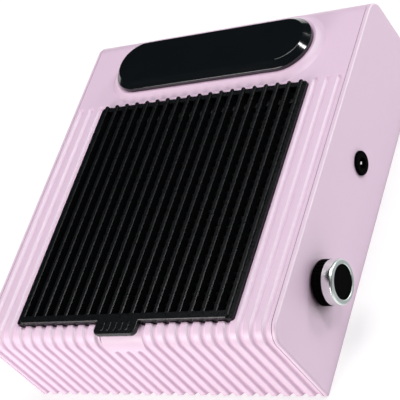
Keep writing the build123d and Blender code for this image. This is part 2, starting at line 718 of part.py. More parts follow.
def impeller():
    """Backward-curved wheel between a back plate and a shroud ring, on a hub cup."""
    wheel = ring(CUP_R, IMPELLER_R, FAN_X, FAN_Y, IMPELLER_FOOT, BLADE_FOOT)
    wheel += ring(CUP_R, HUB_R, FAN_X, FAN_Y, IMPELLER_FOOT, CUP_TOP + 1.8)
    wheel += ring(SHAFT_R + PRESS_GAP, HUB_R, FAN_X, FAN_Y, CUP_TOP, CUP_TOP + 1.8)
    wheel += ring(INLET_R + LIP_T + 1.0, IMPELLER_R, FAN_X, FAN_Y, SHROUD_FOOT, SHROUD_TOP)
    inner, outer = 29.0, IMPELLER_R - 0.8
    lean = radians(42)
    half_turn = lean / 2
    middle = (inner + outer) / 2 + 0.5
    path = ThreePointArc(
        (inner, 0),
        (middle * cos(half_turn * 0.62), -middle * sin(half_turn * 0.62)),
        (outer * cos(lean), -outer * sin(lean)),
    )
    blade = extrude(trace(path, BLADE_T), SHROUD_FOOT - BLADE_FOOT + 0.6)
    for i in range(BLADES):
        wheel += Pos(FAN_X, FAN_Y, BLADE_FOOT - 0.3) * Rot(0, 0, i * 360 / BLADES) * blade
    return wheel


# ---------------------------------------------------------------- motor
def motor_screw_spots():
    """Centres of the three screws through the motor's flange."""
    return [(FAN_X + 13 * cos(radians(a)), FAN_Y + 13 * sin(radians(a))) for a in (30, 150, 270)]


def motor_base():
    """Flanged bearing tube."""
    low = SCROLL_FLOOR
    base = post(17.0, FAN_X, FAN_Y, low, low + 1.4)
    base += post(9.5, FAN_X, FAN_Y, low, low + MOTOR_STEP)
    base += post(TUBE_R, FAN_X, FAN_Y, low, TUBE_TOP)
    base -= post(BEARING_R, FAN_X, FAN_Y, low - 1, LOW_BEARING + BEARING_W)
    base -= post(BEARING_R, FAN_X, FAN_Y, HIGH_BEARING, TUBE_TOP + 1)
    base -= post(BEARING_R - 1.2, FAN_X, FAN_Y, low, TUBE_TOP)
    for x, y in motor_screw_spots():
        base -= post(SCREW_R, x, y, low - 1, low + 2)
    return base


def motor_screws():
    """Screws through the motor's flange into the scroll's floor."""
    one = screw(2.2, 1.3, SMALL_SCREW_R, 3.2, 0.9)
    return group([Pos(x, y, SCROLL_FLOOR + 1.4) * one for x, y in motor_screw_spots()])


def bearing(z):
    """Shielded ball bearing."""
    race = ring(SHAFT_R + SHAFT_PLAY, BEARING_R - PRESS_GAP, FAN_X, FAN_Y, z, z + BEARING_W)
    for face in (z, z + BEARING_W):
        race -= ring(3.1, 4.5, FAN_X, FAN_Y, face - 0.35, face + 0.35)
    return race


def stator_core():
    """Laminated core: a hub and nine T-shaped teeth."""
    high = STATOR_TOP - STATOR_FOOT
    core = ring(TUBE_R + PRESS_GAP, 10.4, 0, 0, 0, high)
    for i in range(TEETH):
        tooth = block((9.8, STATOR_R - 1.2), (-1.1, 1.1), (0, high))
        core += Rot(0, 0, i * 360 / TEETH) * tooth
    shoes = ring(STATOR_R - 1.3, STATOR_R, 0, 0, 0, high)
    for i in range(TEETH):
        turn = (i + 0.5) * 360 / TEETH
        shoes -= Rot(0, 0, turn) * block((STATOR_R - 3, STATOR_R + 1), (-1.0, 1.0), (-1, high + 1))
    return Pos(FAN_X, FAN_Y, STATOR_FOOT) * (core + shoes)


def stator_windings():
    """One coil around each tooth."""
    high = STATOR_TOP - STATOR_FOOT
    coil = block((10.9, 14.8), (-2.2, 2.2), (-1.1, high + 1.1))
    coil = fillet(coil.edges().filter_by(Axis.X), 0.9)
    coil -= block((10, 16), (-1.1, 1.1), (0, high))
    turns = [Rot(0, 0, i * 360 / TEETH) * coil for i in range(TEETH)]
    return group([Pos(FAN_X, FAN_Y, STATOR_FOOT) * turn for turn in turns])


def motor_board():
    """Driver board under the stator."""
    low = SCROLL_FLOOR + MOTOR_STEP
    return ring(TUBE_R + PRESS_GAP, 19.5, FAN_X, FAN_Y, low, low + 1.0)


def rotor_magnet():
    """Magnet ring inside the rotor cup."""
    inner = CUP_R - CUP_T - MAGNET_T
    return ring(inner, CUP_R - CUP_T, FAN_X, FAN_Y, IMPELLER_FOOT + 0.4, STATOR_TOP + 2)


def rotor_cup():
    """Pressed steel cup on the shaft."""
    cup = ring(CUP_R - CUP_T, CUP_R, FAN_X, FAN_Y, IMPELLER_FOOT, CUP_TOP)
    return cup + ring(SHAFT_R + PRESS_GAP, CUP_R, FAN_X, FAN_Y, CUP_TOP - 1.4, CUP_TOP)


def motor_shaft():
    """Steel shaft with a groove for its clip."""
    shaft = post(SHAFT_R, FAN_X, FAN_Y, 7.8, CUP_TOP + 2.6)
    shaft = chamfer(shaft.faces().sort_by(Axis.Z)[-1].edges(), 0.4)
    return shaft - ring(SHAFT_R - 0.4, SHAFT_R + 1, FAN_X, FAN_Y, 8.2, 8.7)


def shaft_clip():
    """Open retaining ring in the shaft's groove."""
    clip = ring(SHAFT_R - 0.4, 3.6, FAN_X, FAN_Y, 8.2, 8.7)
    return clip - block((FAN_X, FAN_X + 5), (FAN_Y - 1.3, FAN_Y + 1.3), (8, 9))


# ---------------------------------------------------------------- knob and inlet
def knob_skirt():
    """Fluted black knob body that grips the shaft."""
    x0 = WIDTH / 2 + KNOB_GAP
    x1 = x0 + SKIRT_H
    body = rod(KNOB_R, x0, x1, KNOB_Y, KNOB_Z)
    body = chamfer(body.edges().filter_by(GeomType.CIRCLE), 0.4)
    for i in range(FLUTES):
        angle = 2 * pi * i / FLUTES
        y = KNOB_Y + (KNOB_R + 0.35) * cos(angle)
        z = KNOB_Z + (KNOB_R + 0.35) * sin(angle)
        body -= rod(0.75, x0 - 1, x1 + 1, y, z)
    body += rod(RING_IN_R, x1 - 1, KNOB_END - 1.2, KNOB_Y, KNOB_Z)
    body -= rod(KNOB_R - 3.4, x0 - 1, x0 + 2.6, KNOB_Y, KNOB_Z)
    return body - rod(POT_SHAFT_R + PRESS_GAP, x0, KNOB_END - 3.0, KNOB_Y, KNOB_Z)


def knob_ring():
    """Bright ring around the knob's outer half, rounded at its front edge."""
    x0 = WIDTH / 2 + KNOB_GAP + SKIRT_H
    body = rod_ring(RING_IN_R, RING_R, x0, KNOB_END, KNOB_Y, KNOB_Z)
    front = body.faces().sort_by(Axis.X)[-1].edges().sort_by(SortBy.RADIUS)
    body = fillet(front[-1], RING_EDGE_R)
    front = body.faces().sort_by(Axis.X)[-1].edges().sort_by(SortBy.RADIUS)
    return chamfer(front[0], 0.3)


def knob_insert():
    """Black disc set into the ring's face."""
    disc = rod(RING_IN_R, KNOB_END - 1.2, KNOB_END - 0.5, KNOB_Y, KNOB_Z)
    return fillet(disc.faces().sort_by(Axis.X)[-1].edges(), 0.25)


def pot_body():
    """Potentiometer can with its bushing and three terminals."""
    x1 = COVER_INNER
    body = rod(POT_R, x1 - POT_DEPTH, x1, KNOB_Y, KNOB_Z)
    body += rod(BUSH_R, x1 - 1, WIDTH / 2 + 2.3, KNOB_Y, KNOB_Z)
    body -= rod(POT_SHAFT_R + SHAFT_PLAY, x1 - 6, WIDTH / 2 + 4, KNOB_Y, KNOB_Z)
    for y in (-4.0, 0.0, 4.0):
        span = (KNOB_Y + y - 0.8, KNOB_Y + y + 0.8)
        body += block((x1 - POT_DEPTH - 2.6, x1 - POT_DEPTH + 0.5), span, (KNOB_Z - 6, KNOB_Z - 5))
    return body


def pot_shaft():
    """Potentiometer shaft with a driving flat at the knob's end."""
    end = KNOB_END - 3.0
    shaft = rod(POT_SHAFT_R, COVER_INNER - 5.6, end, KNOB_Y, KNOB_Z)
    flat = block((end - 6, end + 1), (KNOB_Y - 4, KNOB_Y + 4), (KNOB_Z + 1.6, KNOB_Z + 4))
    return shaft - flat


def jack_body():
    """Round inlet: bezel, threaded barrel with a socket, and two rear terminals."""
    face = WIDTH / 2 + JACK_BEZEL_T
    body = rod(JACK_BEZEL_R, WIDTH / 2, face, JACK_Y, JACK_Z)
    body = fillet(body.faces().sort_by(Axis.X)[-1].edges(), 0.9)
    body += rod(JACK_BARREL_R, WIDTH / 2 - JACK_DEPTH, WIDTH / 2 + 0.3, JACK_Y, JACK_Z)
    body -= rod(JACK_SOCKET_R, face - JACK_SOCKET_DEPTH, face + 1, JACK_Y, JACK_Z)
    body -= rod(JACK_ROOT_R, WIDTH / 2 - JACK_DEPTH + 1, face, JACK_Y, JACK_Z)
    back = WIDTH / 2 - JACK_DEPTH
    for y in (-2.0, 2.0):
        span = (JACK_Y + y - 0.6, JACK_Y + y + 0.6)
        body += block((back - 3, back + 0.5), span, (JACK_Z - 1.5, JACK_Z + 1.5))
    return body


def jack_pin():
    """Centre contact of the inlet, with a thinner root in the body."""
    tip = WIDTH / 2 + JACK_BEZEL_T - 1.0
    socket_floor = WIDTH / 2 + JACK_BEZEL_T - JACK_SOCKET_DEPTH
    pin = rod(JACK_PIN_R, socket_floor, tip, JACK_Y, JACK_Z)
    pin = fillet(pin.faces().sort_by(Axis.X)[-1].edges(), 0.4)
    root = WIDTH / 2 - JACK_DEPTH + 1.2
    return pin + rod(JACK_ROOT_R - PRESS_GAP, root, socket_floor + 1, JACK_Y, JACK_Z)


# ---------------------------------------------------------------- control board
def board_corners():
    """Centres of the board's four fixing screws."""
    inset = 4.0
    xs = (BOARD_X[0] + inset, BOARD_X[1] - inset)
    ys = (BOARD_Y[0] + inset, BOARD_Y[1] - inset)
    return [(x, y) for x in xs for y in ys]


def control_board():
    """Circuit board behind the blower."""
    board = block(BOARD_X, BOARD_Y, (BOARD_Z, BOARD_Z + BOARD_T))
    for x, y in board_corners():
        board -= post(SCREW_R, x, y, BOARD_Z - 1, BOARD_Z + 3)
    return board


def board_screws():
    """Screws that hold the board to its posts."""
    one = screw(2.2, 1.3, SMALL_SCREW_R, 6.4, 0.9)
    return group([Pos(x, y, BOARD_Z + BOARD_T) * one for x, y in board_corners()])


def board_capacitors():
    """Three upright electrolytic capacitors with a score line round the foot."""
    top = BOARD_Z + BOARD_T
    cans = []
    for radius, height, x, y in ((5.0, 13.0, -68, 190), (5.0, 13.0, -68, 203), (4.0, 10.0, -56, 203)):
        can = fillet(post(radius, x, y, top, top + height).edges().sort_by(Axis.Z)[-1], 0.6)
        cans.append(can - ring(radius - 0.4, radius + 1, x, y, top + 1.6, top + 2.4))
    return group(cans)


def board_driver():
    """Power transistor on a finned heat sink."""
    top = BOARD_Z + BOARD_T
    return block((-46, -36), (199, 203.4), (top, top + 15))


def heat_sink():
    """Finned aluminium heat sink behind the transistor."""
    top = BOARD_Z + BOARD_T
    sink = block((-50, -32), (203.4, 210), (top, top + 16))
    for i in range(4):
        x = -47.4 + i * 4.2
        sink -= block((x, x + 2.2), (205, 211), (top - 1, top + 17))
    return sink


CONNECTORS = ((-22.0, 178.0), (-34.0, 184.0), (-60.0, 173.0))
CONNECTOR_TOP = BOARD_Z + BOARD_T + 6.0


def board_connectors():
    """Plug-in sockets for the three leads."""
    top = BOARD_Z + BOARD_T
    return group([block((x - 4, x + 4), (y - 3, y + 3), (top, CONNECTOR_TOP)) for x, y in CONNECTORS])


# ---------------------------------------------------------------- leads
# Each lead runs inside the housing from its part to its socket on the board.
JACK_BACK = WIDTH / 2 - JACK_DEPTH - 3.0
JACK_ROUTE = [
    (JACK_BACK, JACK_Y, JACK_Z),
    (JACK_BACK - 6.2, JACK_Y, JACK_Z),
    (76.8, 137.5, 41.5),
    (77.0, 172.0, 42.0),
    (62.0, 179.0, 40.5),
    (20.0, 177.0, 40.5),
    (-10.0, 179.0, 39.0),
    (-22.0, 178.0, 32.0),
    (-22.0, 178.0, CONNECTOR_TOP),
]
POT_BACK = COVER_INNER - POT_DEPTH - 2.6
POT_ROUTE = [
    (POT_BACK, KNOB_Y, KNOB_Z - 5.5),
    (POT_BACK - 7.0, KNOB_Y, KNOB_Z - 5.5),
    (81.5, 70.0, 42.0),
    (81.0, 110.0, 44.0),
    (81.8, 150.0, 43.5),
    (80.0, 178.0, 44.0),
    (66.0, 186.5, 44.5),
    (20.0, 184.5, 44.5),
    (-20.0, 185.5, 43.0),
    (-34.0, 184.0, 34.0),
    (-34.0, 184.0, CONNECTOR_TOP),
]
MOTOR_ROUTE = [
    (FAN_X - 8.9, FAN_Y + 15.4, 8.8),
    (-47.0, 141.5, 8.8),
    (-57.0, 153.5, 10.6),
    (-60.0, 163.2, 16.6),
    (-60.0, 170.0, 16.6),
]


def turn_at(before, corner, after):
    """Angle in degrees by which a route turns at one of its points."""
    return (Vector(*corner) - Vector(*before)).get_angle(Vector(*after) - Vector(*corner))


def lead(route):
    """Round lead along straight runs joined by arcs as large as the runs allow."""
    radii = []
    for before, corner, after in zip(route, route[1:], route[2:]):
        turn = radians(turn_at(before, corner, after))
        run_in = (Vector(*corner) - Vector(*before)).length
        run_out = (Vector(*after) - Vector(*corner)).length
        radii.append(0.45 * min(run_in, run_out) / (sin(turn / 2) / cos(turn / 2)))
    path = FilletPolyline(*route, radius=radii)
    start = Plane(path @ 0, z_dir=path % 0)
    body = sweep(start * Circle(LEAD_R), path=path)
    share = body.volume / (pi * LEAD_R**2 * path.length)
    arcs = [round(radius, 1) for radius in radii]
    print("lead length", round(path.length, 1), "volume share", round(share, 4), "radii", arcs)
    return body


# ---------------------------------------------------------------- all the nodes
def build_nodes():
    """Every node by name."""
    nodes = {
        "wrap_shell": wrap_shell(),
        "left_side_cover": side_cover(-1),
        "right_side_cover": side_cover(1),
        "base_plate": base_plate(),
        "base_screws": base_screws(),
        "cover_screws": cover_screws(),
        "exhaust_grille": exhaust_grille(),
        "grille_cover": grille_cover(),
        "hand_rest": hand_rest(),
        "hand_rest_screws": hand_rest_screws(),
        "filter_tray": filter_tray(),
        "tray_screws": tray_screws(),
        "filter_seal": filter_seal(),
        "filter_frame": filter_frame(),
        "filter_media": filter_media(),
        "fan_scroll": fan_scroll(),
        "fan_inlet_plate": fan_inlet_plate(),
        "fan_screws": fan_screws(),
        "impeller": impeller(),
        "motor_base": motor_base(),
        "motor_screws": motor_screws(),
        "lower_bearing": bearing(LOW_BEARING),
        "upper_bearing": bearing(HIGH_BEARING),
        "stator_core": stator_core(),
        "stator_windings": stator_windings(),
        "motor_board": motor_board(),
        "rotor_magnet": rotor_magnet(),
        "rotor_cup": rotor_cup(),
        "motor_shaft": motor_shaft(),
        "shaft_clip": shaft_clip(),
        "knob_skirt": knob_skirt(),
        "knob_ring": knob_ring(),
        "knob_insert": knob_insert(),
        "pot_body": pot_body(),
        "pot_shaft": pot_shaft(),
        "pot_washer": rod_ring(BUSH_R, 6.0, WIDTH / 2, WIDTH / 2 + 0.5, KNOB_Y, KNOB_Z),
        "pot_nut": hexagon_nut(10.0, BUSH_R, WIDTH / 2 + 0.5, WIDTH / 2 + 2.1, KNOB_Y, KNOB_Z),
        "jack_body": jack_body(),
        "jack_pin": jack_pin(),
        "jack_nut": hexagon_nut(14.0, JACK_BARREL_R, COVER_INNER - 2.2, COVER_INNER, JACK_Y, JACK_Z),
        "control_board": control_board(),
        "board_screws": board_screws(),
        "board_capacitors": board_capacitors(),
        "board_driver": board_driver(),
        "heat_sink": heat_sink(),
        "board_connectors": board_connectors(),
        "jack_lead": lead(JACK_ROUTE),
        "pot_lead": lead(POT_ROUTE),
        "motor_lead": lead(MOTOR_ROUTE),
    }
    for name, (x, y) in FEET.items():
        nodes[name] = foot(x, y)
    return nodes


os.makedirs("parts", exist_ok=True)
for node_name, shape in build_nodes().items():
    export_step(PLACE * shape, f"parts/{node_name}.step")
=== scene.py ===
import json
import math

import bpy
from mathutils import Matrix, Vector


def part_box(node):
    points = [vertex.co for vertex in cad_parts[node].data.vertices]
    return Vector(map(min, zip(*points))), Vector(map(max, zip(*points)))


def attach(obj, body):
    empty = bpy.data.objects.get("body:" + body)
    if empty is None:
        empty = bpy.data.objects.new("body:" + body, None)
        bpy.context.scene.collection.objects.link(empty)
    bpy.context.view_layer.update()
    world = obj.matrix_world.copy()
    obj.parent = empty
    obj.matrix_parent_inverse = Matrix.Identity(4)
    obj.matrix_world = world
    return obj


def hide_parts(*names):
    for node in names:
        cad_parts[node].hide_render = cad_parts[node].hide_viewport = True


# A desktop nail dust collector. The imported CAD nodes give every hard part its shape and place; this
# script gives them their finish, builds the soft parts, and lights and frames the whole.
# All lengths are metres, in the frame of the CAD model.

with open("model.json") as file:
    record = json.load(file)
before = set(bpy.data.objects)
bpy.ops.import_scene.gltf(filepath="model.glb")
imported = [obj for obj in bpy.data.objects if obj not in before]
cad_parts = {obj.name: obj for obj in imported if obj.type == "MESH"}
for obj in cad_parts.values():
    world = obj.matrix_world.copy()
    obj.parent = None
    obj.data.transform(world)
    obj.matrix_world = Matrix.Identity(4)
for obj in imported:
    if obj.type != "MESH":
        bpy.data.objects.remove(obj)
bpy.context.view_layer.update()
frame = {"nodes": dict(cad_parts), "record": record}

MM = 0.001
TOP_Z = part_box("right_side_cover")[1].z


# ---------------------------------------------------------------- shader helpers
SHADE_SAMPLES = 8
WAVE_RATE = 20.0  # radians that the wave texture turns through in a metre at scale 1


class Shader:
    """A material's node tree with one Principled shader, and short ways to add nodes to it."""

    def __init__(self, name):
        self.material = bpy.data.materials.new(name)
        self.material.use_nodes = True
        self.tree = self.material.node_tree
        self.surface = self.tree.nodes["Principled BSDF"]
        coordinates = self.node("ShaderNodeTexCoord")
        self.place = coordinates.outputs["Object"]
        self.facing = coordinates.outputs["Normal"]

    def node(self, kind, **settings):
        """A new node with the given properties."""
        made = self.tree.nodes.new(kind)
        for key, value in settings.items():
            setattr(made, key, value)
        return made

    def link(self, source, target):
        self.tree.links.new(source, target)

    def set(self, **values):
        """Constants on the shader's own sockets; underscores stand for spaces."""
        for key, value in values.items():
            self.surface.inputs[key.replace("_", " ")].default_value = value

    def stretched(self, scale):
        """The object's coordinates, scaled along each axis."""
        mapping = self.node("ShaderNodeMapping")
        mapping.inputs["Scale"].default_value = scale
        self.link(self.place, mapping.inputs["Vector"])
        return mapping.outputs["Vector"]

    def noise(self, size, detail=2.0, rough=0.5, place=None):
        """Noise whose blobs are about size metres across."""
        made = self.node("ShaderNodeTexNoise")
        made.inputs["Scale"].default_value = 1.0 / size
        made.inputs["Detail"].default_value = detail
        made.inputs["Roughness"].default_value = rough
        self.link(place or self.place, made.inputs["Vector"])
        return made.outputs["Fac"]

    def cells(self, size):
        """Cell pattern whose cells are about size metres across."""
        made = self.node("ShaderNodeTexVoronoi")
        made.inputs["Scale"].default_value = 1.0 / size
        self.link(self.place, made.inputs["Vector"])
        return made.outputs["Distance"]

    def bands(self, pitch, axis, blur=0.0):
        """Straight bands of the given pitch across one axis."""
        made = self.node("ShaderNodeTexWave", bands_direction=axis)
        made.inputs["Scale"].default_value = 2.0 * math.pi / (WAVE_RATE * pitch)
        made.inputs["Distortion"].default_value = blur
        made.inputs["Detail"].default_value = 1.0
        self.link(self.place, made.inputs["Vector"])
        return made.outputs["Fac"]

    def spread(self, value, low, high, start=0.3, end=0.7):
        """A 0 to 1 value, stretched from start..end to low..high."""
        made = self.node("ShaderNodeMapRange")
        made.inputs["From Min"].default_value = start
        made.inputs["From Max"].default_value = end
        made.inputs["To Min"].default_value = low
        made.inputs["To Max"].default_value = high
        self.link(value, made.inputs["Value"])
        return made.outputs["Result"]

    def ramp(self, value, start, end):
        """0 where value is start or less, rising to 1 where it is end or more."""
        return self.spread(value, 0, 1, start, end)

    def blend(self, value, first, second):
        """Colour that goes from first to second as value goes from 0 to 1."""
        made = self.node("ShaderNodeMix", data_type="RGBA")
        self.link(value, made.inputs["Factor"])
        for socket, colour in (("A", first), ("B", second)):
            target = next(i for i in made.inputs if i.name == socket and i.type == "RGBA")
            if isinstance(colour, tuple):
                target.default_value = (*colour, 1.0)
            else:
                self.link(colour, target)
        return next(o for o in made.outputs if o.type == "RGBA")

    def colour(self, output):
        self.link(output, self.surface.inputs["Base Color"])

    def roughness(self, value, low, high, start=0.3, end=0.7):
        self.link(self.spread(value, low, high, start, end), self.surface.inputs["Roughness"])

    def bump(self, *layers):
        """Bump from (height, depth in metres) layers, the first one lowest."""
        normal = None
        for height, depth in layers:
            made = self.node("ShaderNodeBump")
            made.inputs["Strength"].default_value = 1.0
            made.inputs["Distance"].default_value = depth
            self.link(height, made.inputs["Height"])
            if normal is not None:
                self.link(normal, made.inputs["Normal"])
            normal = made.outputs["Normal"]
        self.link(normal, self.surface.inputs["Normal"])

    def shade(self, distance, leaning=None):
        """1 on open surfaces, falling towards 0 where something stands nearer than distance. Leaning
        is added to the normal, so that only what stands on that side casts shade."""
        made = self.node("ShaderNodeAmbientOcclusion", samples=SHADE_SAMPLES)
        made.inputs["Distance"].default_value = distance
        if leaning is not None:
            tilt = self.node("ShaderNodeVectorMath", operation="ADD")
            self.link(self.facing, tilt.inputs[0])
            tilt.inputs[1].default_value = leaning
            straight = self.node("ShaderNodeVectorMath", operation="NORMALIZE")
            self.link(tilt.outputs["Vector"], straight.inputs[0])
            self.link(straight.outputs["Vector"], made.inputs["Normal"])
        return made.outputs["AO"]

    def faces(self, axis):
        """How squarely the surface faces along an axis, either way: 0 to 1."""
        split = self.node("ShaderNodeSeparateXYZ")
        self.link(self.facing, split.inputs["Vector"])
        size = self.node("ShaderNodeMath", operation="ABSOLUTE")
        self.link(split.outputs[axis], size.inputs[0])
        return size.outputs["Value"]


# ---------------------------------------------------------------- plastics
# Reach of the painted shade down in the grooves.
GROOVE_SHADE_REACH = 2.0 * MM
# Reach of the painted shadow that the knob throws on the flat side.
KNOB_SHADOW_REACH = 11 * MM
TOWARDS_KEY = (0.0, 1.24, 0.41)


def housing_pink():
    """Satin lilac-pink moulding with a fine grain. Painted shade tints it a deeper pink down in the
    grooves, painted highlights make it paler on each rim that faces up and on the rib edges, and a
    painted shadow dims the flat sides where the knob keeps the light off."""
    s = Shader("housing_pink")
    pink = s.blend(s.noise(60 * MM, 3.0), (0.775, 0.588, 0.738), (0.792, 0.602, 0.752))
    # Painted shade: the grooves are tinted a deeper pink, more on the front than on top.
    groove_shade_pink = s.blend(s.faces("Z"), (0.46, 0.18, 0.34), (0.60, 0.38, 0.54))
    # Painted highlight: rims and rib edges that face up are tinted paler, as if catching the light.
    rim_highlight_pink = (0.96, 0.84, 0.94)
    # Painted shadow: the flat sides are dimmed where the knob blocks the key light.
    knob_shadow_pink = (0.15, 0.09, 0.13)
    highlight_upward = s.ramp(s.faces("Z"), 0.15, 0.55)
    highlight_edge = s.ramp(s.faces("X"), 0.45, 0.75)
    flat_side = s.ramp(s.faces("X"), 0.95, 0.99)
    # Painted shade mask: occlusion inside the grooves.
    out_of_groove_shade = s.ramp(s.shade(GROOVE_SHADE_REACH), 0.45, 0.97)
    # Painted shadow mask: occlusion towards the key light.
    out_of_shadow = s.ramp(s.shade(KNOB_SHADOW_REACH, TOWARDS_KEY), 0.26, 0.66)
    # Painted highlight on the rims and rib edges.
    rim_highlights = s.blend(highlight_edge, pink, s.blend(highlight_upward, pink, rim_highlight_pink))
    ribbed_shade_and_highlight = s.blend(out_of_groove_shade, groove_shade_pink, rim_highlights)
    plain_with_knob_shadow = s.blend(out_of_shadow, knob_shadow_pink, pink)
    s.colour(s.blend(flat_side, ribbed_shade_and_highlight, plain_with_knob_shadow))
    s.roughness(s.noise(4 * MM, 4.0), 0.32, 0.40)
    s.bump((s.noise(9 * MM), 0.012 * MM), (s.noise(0.35 * MM, 3.0, 0.6), 0.010 * MM))
    s.set(Specular_IOR_Level=0.45)
    return s.material


PIGMENT_SPREAD = 2.4
ROUGH_SPREAD = 0.06


def black_plastic(name, rough, gloss, tint):
    """Black moulding with a fine spark-eroded grain and uneven pigment."""
    s = Shader(name)
    lighter = tuple(PIGMENT_SPREAD * c for c in tint)
    s.colour(s.blend(s.noise(3 * MM, 5.0, 0.65), tint, lighter))
    s.roughness(s.noise(1.6 * MM, 4.0), rough - ROUGH_SPREAD, rough + ROUGH_SPREAD)
    s.bump((s.noise(0.30 * MM, 3.0, 0.6), 0.005 * MM))
    s.set(Specular_IOR_Level=gloss)
    return s.material


def hand_rest_gloss():
    """Polished black with the slow waviness of a moulded surface and hairline wipe marks."""
    s = Shader("hand_rest_gloss")
    s.colour(s.blend(s.noise(20 * MM, 3.0), (0.0040, 0.0056, 0.0068), (0.0060, 0.0078, 0.0090)))
    wipes = s.noise(1.1 * MM, 6.0, 0.7, s.stretched((0.05, 1.0, 1.0)))
    s.roughness(wipes, 0.07, 0.17)
    s.bump((s.noise(26 * MM, 1.0), 0.05 * MM), (wipes, 0.0010 * MM))
    s.set(Coat_Weight=0.35, Coat_Roughness=0.05, Specular_IOR_Level=0.5)
    return s.material


FLOW_SPREAD = 1.35
FLOW_ROUGH_SPREAD = 0.08


def inner_plastic(name, base, rough=0.5):
    """Plain inner moulding with flow marks from the mould."""
    s = Shader(name)
    s.colour(s.blend(s.noise(14 * MM, 4.0, 0.6), base, tuple(FLOW_SPREAD * c for c in base)))
    s.roughness(s.noise(2.4 * MM, 4.0), rough - FLOW_ROUGH_SPREAD, rough + FLOW_ROUGH_SPREAD)
    s.bump((s.noise(0.6 * MM, 3.0), 0.02 * MM), (s.noise(12 * MM, 1.0), 0.04 * MM))
    return s.material


# ---------------------------------------------------------------- metals
GRAIN_SHADE = 0.82


def metal(name, base, rough, grain=0.4 * MM, stretch=(1, 1, 1), depth=0.004 * MM):
    """Metal with a turned, rolled or cast grain, set by how the noise is stretched. Rough is the
    smallest and the largest roughness."""
    s = Shader(name)
    lines = s.noise(grain, 4.0, 0.6, s.stretched(stretch))
    darker = tuple(GRAIN_SHADE * c for c in base)
    s.colour(s.blend(lines, darker, base))
    s.roughness(s.noise(3 * MM, 5.0, 0.6), *rough)
    s.bump((lines, depth))
    s.set(Metallic=1.0)
    return s.material


def knob_chrome():
    """Bright plating, polished round the side and finely turned on the front face; that face is also
    painted a darker grey-green, a painted dim reflection.
    """
    s = Shader("knob_chrome")
    front = s.ramp(s.faces("X"), 0.55, 0.95)
    haze = s.noise(2.5 * MM, 3.0)
    polished = s.blend(haze, (0.84, 0.93, 0.87), (0.90, 0.98, 0.92))
    # Painted reflection: the front face is tinted a darker grey-green; its higher roughness is the
    # real turned finish.
    turned = s.blend(haze, (0.30, 0.34, 0.34), (0.40, 0.44, 0.44))
    s.colour(s.blend(front, polished, turned))
    s.roughness(s.faces("X"), 0.14, 0.40, 0.05, 0.40)
    s.bump((s.noise(0.25 * MM, 4.0, 0.6, s.stretched((0.1, 1, 1))), 0.001 * MM))
    s.set(Metallic=1.0)
    return s.material


def laminated_iron():
    """Stack of thin laminations, seen as fine lines across the stack."""
    s = Shader("laminated_iron")
    sheets = s.bands(0.5 * MM, "Z")
    s.colour(s.blend(sheets, (0.10, 0.10, 0.11), (0.34, 0.34, 0.36)))
    s.roughness(s.noise(1.0 * MM, 4.0), 0.35, 0.55)
    s.bump((sheets, 0.04 * MM))
    s.set(Metallic=1.0)
    return s.material


def copper_wire():
    """Enamelled wire laid side by side."""
    s = Shader("copper_wire")
    turns = s.bands(0.35 * MM, "Z", 0.6)
    s.colour(s.blend(turns, (0.30, 0.085, 0.025), (0.78, 0.30, 0.11)))
    s.roughness(s.noise(0.8 * MM, 3.0), 0.22, 0.36)
    s.bump((turns, 0.09 * MM))
    s.set(Metallic=1.0, Coat_Weight=0.5, Coat_Roughness=0.15)
    return s.material


# ---------------------------------------------------------------- soft and other materials
def filter_fibre():
    """Dark non-woven sheet: matted fibres with lighter threads among them."""
    s = Shader("filter_sheet")
    across = s.noise(0.30 * MM, 6.0, 0.75, s.stretched((0.25, 1.0, 1.0)))
    along = s.noise(0.30 * MM, 6.0, 0.75, s.stretched((1.0, 0.3, 0.3)))
    matted = s.node("ShaderNodeMath", operation="MULTIPLY")
    s.link(across, matted.inputs[0])
    s.link(along, matted.inputs[1])
    fibres = s.ramp(matted.outputs["Value"], 0.16, 0.38)
    patches = s.noise(7 * MM, 4.0, 0.6)
    dark = s.blend(patches, (0.0030, 0.0030, 0.0033), (0.0065, 0.0065, 0.0070))
    s.colour(s.blend(fibres, dark, (0.016, 0.016, 0.017)))
    s.roughness(patches, 0.85, 0.95)
    s.bump((fibres, 0.10 * MM), (s.noise(0.9 * MM, 4.0), 0.10 * MM))
    s.set(Specular_IOR_Level=0.08)
    return s.material


def seal_foam():
    """Closed-cell foam: small open cut cells."""
    s = Shader("seal_foam")
    cells = s.cells(0.55 * MM)
    s.colour(s.blend(cells, (0.012, 0.012, 0.012), (0.06, 0.06, 0.062)))
    s.roughness(s.noise(2 * MM), 0.8, 0.95)
    s.bump((cells, 0.18 * MM))
    return s.material


DUST_SPREAD = 2.2
DUST_GREY = 0.004


def rubber(name, base):
    """Moulded rubber with a dull, slightly dusty face."""
    s = Shader(name)
    dust = s.noise(2.2 * MM, 5.0, 0.7)
    s.colour(s.blend(dust, base, tuple(DUST_SPREAD * c + DUST_GREY for c in base)))
    s.roughness(dust, 0.62, 0.82)
    s.bump((s.noise(0.45 * MM, 3.0), 0.03 * MM))
    return s.material


TRACK_ROWS_PER_METRE = 160.0
TRACK_GAP = 0.035


def circuit_board():
    """Green solder mask over copper tracks."""
    s = Shader("circuit_board")
    tracks = s.node("ShaderNodeTexBrick", offset=0.5, squash=0.7)
    tracks.inputs["Scale"].default_value = TRACK_ROWS_PER_METRE
    tracks.inputs["Mortar Size"].default_value = TRACK_GAP
    s.link(s.place, tracks.inputs["Vector"])
    weave = s.noise(0.7 * MM, 2.0)
    mask = s.blend(weave, (0.006, 0.070, 0.026), (0.010, 0.100, 0.040))
    s.colour(s.blend(tracks.outputs["Fac"], mask, (0.030, 0.180, 0.080)))
    s.roughness(weave, 0.22, 0.34)
    s.bump((tracks.outputs["Fac"], 0.03 * MM))
    s.set(Coat_Weight=0.4, Coat_Roughness=0.12)
    return s.material


